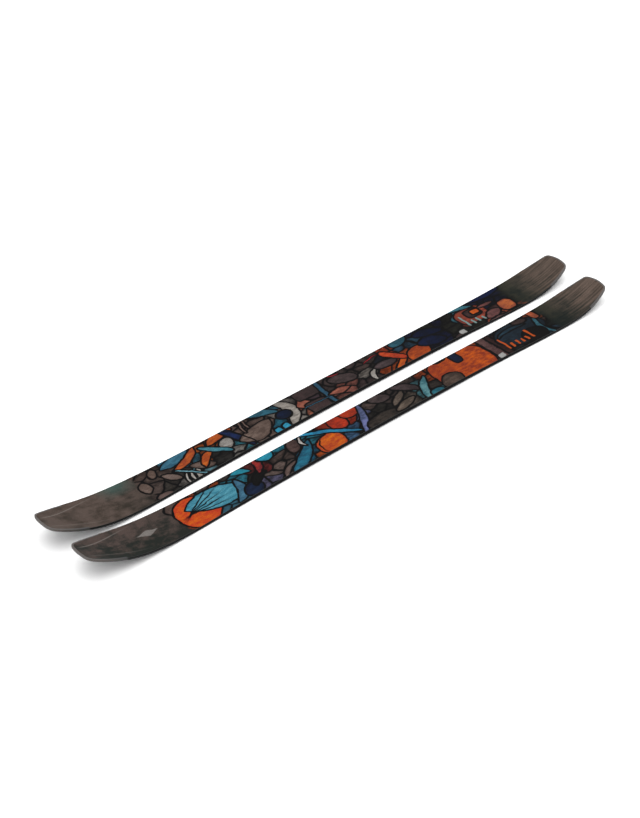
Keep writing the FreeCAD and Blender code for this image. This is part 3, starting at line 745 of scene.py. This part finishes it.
def rim_plastic():
    """The end rims: black where they meet the side band, and brown-grey like the print towards the ends, partly
    the rims' own colour and partly a painted highlight of reflected light.
    """
    f = Finish("rim_plastic", Specular_IOR_Level=0.5)
    x, _, _ = f.split(f.place)
    mottle, _ = f.noise(f.place, 3.0, 4.0, 0.6)
    tone = f.fit(mottle, 0.35, 0.65)
    end_colour_and_highlight = f.fit(f.math("ABSOLUTE", x), 800, 872)
    # brown-grey towards the ends: partly the rim's colour, partly painted highlight
    color = f.mix(end_colour_and_highlight, f.mix(tone, "060607", "0e0e0f"), f.mix(tone, "332e2b", "453e3a"))
    return f.connect(color, f.fit(tone, 0.0, 1.0, 0.4, 0.5), tone, 0.12, 0.0001)


def steel():
    """Ground edge steel: long grinding lines, and a few darker spots where it has tarnished."""
    f = Finish("edge_steel", Metallic=1.0)
    lines, _ = f.noise(f.place, 0.35, 4.0, 0.65, stretch=(0.02, 1, 1))
    spots, _ = f.noise(f.place, 14.0, 4.0, 0.6)
    color = f.mix(f.fit(lines, 0.3, 0.7), "1d1d1f", "2e2e31")
    color = f.mix(f.fit(spots, 0.58, 0.72, 0.0, 0.5), color, "141312")
    return f.connect(color, f.fit(lines, 0.3, 0.7, 0.3, 0.45), lines, 0.1, 0.00005)


def sintered():
    """The running base: near-black, waxed, with the fine diagonal pattern that stone grinding leaves."""
    f = Finish("sintered_base")
    turned = f.node("Mapping", [(0, f.place), (2, (0, 0, math.radians(4)))]).outputs[0]
    grind, _ = f.noise(turned, 0.8, 3.0, 0.6, stretch=(0.03, 1, 1))
    speckle, _ = f.noise(f.place, 1.6, 5.0, 0.75)
    tone = f.math("ADD", f.math("MULTIPLY", grind, 0.6), f.math("MULTIPLY", speckle, 0.4))
    color = f.mix(f.fit(tone, 0.4, 0.62), "121214", "202022")
    return f.connect(color, f.fit(grind, 0.3, 0.7, 0.34, 0.5), grind, 0.2, 0.00008)


def weave(name, dark, light, pitch):
    """Resin-wet fibre cloth: bundles that cross over and under each other."""
    f = Finish(name, Coat_Weight=0.5, Coat_Roughness=0.15)
    x, y, _ = f.split(f.vector("SCALE", f.place, scale=math.pi / pitch))
    over = f.math("MULTIPLY", f.math("SINE", x), f.math("SINE", y))
    fibre, _ = f.noise(f.place, 0.5, 3.0, 0.6, stretch=(0.1, 1, 1))
    tone = f.fit(f.math("ADD", over, fibre), -0.4, 1.4)
    return f.connect(f.mix(tone, dark, light), f.fit(fibre, 0.3, 0.7, 0.3, 0.45), over, 0.3, 0.0002)


def wood(name, early, late, ring):
    """Planed strips: long rings and pores along the grain."""
    f = Finish(name)
    bend, _ = f.noise(f.place, 90.0, 2.0, 0.5, stretch=(0.2, 1, 1))
    _, y, z = f.split(f.place)
    across = f.math("ADD", f.math("ADD", y, z), f.math("MULTIPLY", bend, 60.0))
    rings = f.math("ABSOLUTE", f.math("SINE", f.math("MULTIPLY", across, math.pi / ring)))
    pores, _ = f.noise(f.place, 0.9, 3.0, 0.7, stretch=(0.04, 1, 1))
    tone = f.math("MULTIPLY", f.math("POWER", rings, 2.0), f.fit(pores, 0.25, 0.7))
    return f.connect(f.mix(tone, early, late), f.fit(pores, 0.3, 0.7, 0.6, 0.75), pores, 0.2, 0.0002)


def alloy():
    """Brushed alloy sheet, for the plate hidden under the top."""
    f = Finish("plate_alloy", Metallic=1.0)
    brushed, _ = f.noise(f.place, 0.4, 3.0, 0.6, stretch=(0.03, 1, 1))
    color = f.mix(brushed, "a5a6a9", "c9cacc")
    return f.connect(color, f.fit(brushed, 0.3, 0.7, 0.28, 0.42), brushed, 0.1, 0.00005)


# ---- the pieces --------------------------------------------------------------------------------------------
FINISHES = {
    "left_topsheet_print": topsheet_print_and_highlights(
        "left", LEFT_PALETTES, LEFT_SHAPES, warm_tip="5a4c47", cool_tip="262a26", lean=(0.25, -0.35), teal=0.0
    ),
    "right_topsheet_print": topsheet_print_and_highlights(
        "right", RIGHT_PALETTES, RIGHT_SHAPES, warm_tip="62544d", cool_tip="40372f", lean=(0.15, 0.0), teal=0.6
    ),
    "sintered_base": sintered(),
    "edge_steel": steel(),
    "rubber_foil": plastic("rubber_foil", "070707", "0d0d0e", 0.7),
    "glass_laminate": weave("glass_laminate", "101211", "1d211f", 2.4),
    "sidewall_plastic": plastic("sidewall_plastic", "060607", "0e0e0f", 0.5, planed=0.7),
    "poplar_wood": wood("poplar_wood", "d9c49c", "bfa276", 5.0),
    "ash_wood": wood("ash_wood", "cda873", "a67c49", 3.2),
    "plate_alloy": alloy(),
    "carbon_tape": weave("carbon_tape", "0a0a0b", "222326", 2.0),
    "spacer_plastic": plastic("spacer_plastic", "080809", "101011", 0.5, planed=0.5),
    "rim_plastic": rim_plastic(),
}


def bevel(depth):
    """How far in from the outline the planed bevel is, at a depth below the top."""
    return BEVEL_WIDTH * (1 - depth / BEVEL_DEPTH)


RIM_SECTION = [
    (RIM_INSET, 0.0), (0.7, 0.0), (0.15, 0.25), (0.0, 0.8), (0.0, -2.0), (0.15, -1.5), (0.6, -1.0), (1.5, -0.5),
    (3.0, -0.15), (RIM_INSET, TOP),
]
EDGE_SECTION = [
    (0.0, 0.0), (0.0, EDGE_TOP), (FLANGE_INSET, EDGE_TOP), (FLANGE_INSET, BASE_TOP), (EDGE_INSET, BASE_TOP),
    (EDGE_INSET, 0.0),
]
FOIL_SECTION = [(0.0, EDGE_TOP), (0.0, FOIL_TOP), (FLANGE_INSET, FOIL_TOP), (FLANGE_INSET, EDGE_TOP)]
WALL_SECTION = [
    (0.0, LAMINATE_TOP), (0.0, -BEVEL_DEPTH), (bevel(CORE_DEPTH), -CORE_DEPTH), (FLANGE_INSET, -CORE_DEPTH),
    (FLANGE_INSET, LAMINATE_TOP),
]


def build_ski(ski, side):
    edge_rows = ROWS[EDGE_ROWS[0]:EDGE_ROWS[1] + 1]
    core_rows = ROWS[CORE_ROWS[0]:CORE_ROWS[1] + 1]
    made = []

    def piece(name, shape, slot):
        made.append((make_piece(name, ski, *shape, slot, name), slot))

    for place, toward in (("outer", side), ("inner", -side)):
        piece(f"{place}_edge", closed_band(EDGE_SECTION, edge_rows, toward), "edge_steel")
        piece(f"{place}_edge_foil", closed_band(FOIL_SECTION, edge_rows, toward), "rubber_foil")
        piece(f"{place}_sidewall", closed_band(WALL_SECTION, core_rows, toward), "sidewall_plastic")
    piece("tip_rim", rim(RIM_SECTION, ROWS[EDGE_ROWS[1]:]), "rim_plastic")
    piece("tail_rim", rim(RIM_SECTION, ROWS[EDGE_ROWS[0]::-1]), "rim_plastic")

    rows, starts = with_steps(0, LAST_ROW, RIM_INSET, 0.0)

    def inside(inset):
        return np.where(starts > 0, starts, inset)

    piece("base", sheet(rows, 0.0, BASE_TOP, inside(EDGE_INSET), inside(EDGE_INSET), "fine"), "sintered_base")
    piece("lower_laminate", sheet(rows, FOIL_TOP, LAMINATE_TOP, starts, starts), "glass_laminate")
    piece("upper_laminate", sheet(rows, -CORE_DEPTH, -TOPSHEET_DEPTH, inside(bevel(CORE_DEPTH)),
                                  inside(bevel(TOPSHEET_DEPTH))), "glass_laminate")
    piece("topsheet", sheet(rows, -TOPSHEET_DEPTH, TOP, inside(bevel(TOPSHEET_DEPTH)), inside(bevel(0)), "fine",
                            drop=0.08), f"{ski}_topsheet_print")
    for place, first, last in (("tip", CORE_ROWS[1], LAST_ROW), ("tail", 0, CORE_ROWS[0])):
        rows, starts = with_steps(first, last, RIM_INSET, 0.0)
        piece(f"{place}_spacer", sheet(rows, LAMINATE_TOP, -CORE_DEPTH, starts, inside(bevel(CORE_DEPTH))),
              "spacer_plastic")
    for thing, slot in made:
        thing.data.materials.append(FINISHES[slot])
    inner = {"core_poplar": "poplar_wood", "core_ash": "ash_wood", "binding_plate": "plate_alloy",
             "carbon_strip": "carbon_tape"}
    for name, slot in inner.items():
        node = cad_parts[f"{ski}_{name}"]
        for material_slot in node.material_slots:
            material_slot.material = FINISHES[slot]


build_ski("left", 1)
build_ski("right", -1)


# ---- floor, light and camera -------------------------------------------------------------------------------
FLOOR_HALF, FLOOR_GAP = 14, 0.0004  # metres: half its side, and how far it lies under the skis
CAMERA_PLACE = (3.0958, 3.4142, 3.4106)
CAMERA_DIRECTION = (-0.5332, -0.60197, -0.59441)
CAMERA_ROLL = -0.346  # degrees
CAMERA_LENS, CAMERA_SENSOR = 96.825, 36.0  # millimetres


def add_floor():
    mesh = bpy.data.meshes.new("floor")
    corners = [(-1, -1), (1, -1), (1, 1), (-1, 1)]
    mesh.from_pydata([(x * FLOOR_HALF, y * FLOOR_HALF, 0) for x, y in corners], [], [(0, 1, 2, 3)])
    floor = bpy.data.objects.new("floor", mesh)
    floor.location.z = cad_box[0].z - FLOOR_GAP
    bpy.context.collection.objects.link(floor)
    f = Finish("floor_paint")
    cloud, _ = f.noise(f.place, 400.0, 2.0, 0.5)
    mesh.materials.append(f.connect(f.mix(cloud, "f4f4f4", "fafafa"), f.fit(cloud, 0.3, 0.7, 0.7, 0.8)))


def add_area_light(name, place, target, size, power):
    data = bpy.data.lights.new(name, "AREA")
    data.shape, data.size, data.energy = "DISK", size, power
    light = bpy.data.objects.new(name, data)
    light.location = place
    light.rotation_euler = (Vector(target) - Vector(place)).to_track_quat("-Z", "Y").to_euler()
    bpy.context.collection.objects.link(light)


def add_camera():
    data = bpy.data.cameras.new("camera")
    data.sensor_fit = "VERTICAL"
    data.sensor_width = data.sensor_height = CAMERA_SENSOR
    data.lens = CAMERA_LENS
    camera = bpy.data.objects.new("camera", data)
    camera.location = CAMERA_PLACE
    aim = Vector(CAMERA_DIRECTION).to_track_quat("-Z", "Y")
    camera.rotation_euler = (aim @ Quaternion((0, 0, 1), math.radians(CAMERA_ROLL))).to_euler()
    bpy.context.collection.objects.link(camera)
    bpy.context.scene.camera = camera


add_floor()
add_area_light("overhead", (-0.6, -0.6, 5.0), (-0.6, -0.6, 0), size=9.0, power=280)
add_area_light("fill", (4.0, 1.0, 3.0), (0, 0, 0), size=3.0, power=40)
world = bpy.data.worlds.new("studio")
world.use_nodes = True
background = world.node_tree.nodes["Background"].inputs
background["Color"].default_value = (1, 1, 1, 1)
background["Strength"].default_value = 0.95
bpy.context.scene.world = world
bpy.context.scene.view_settings.view_transform = "Standard"
add_camera()
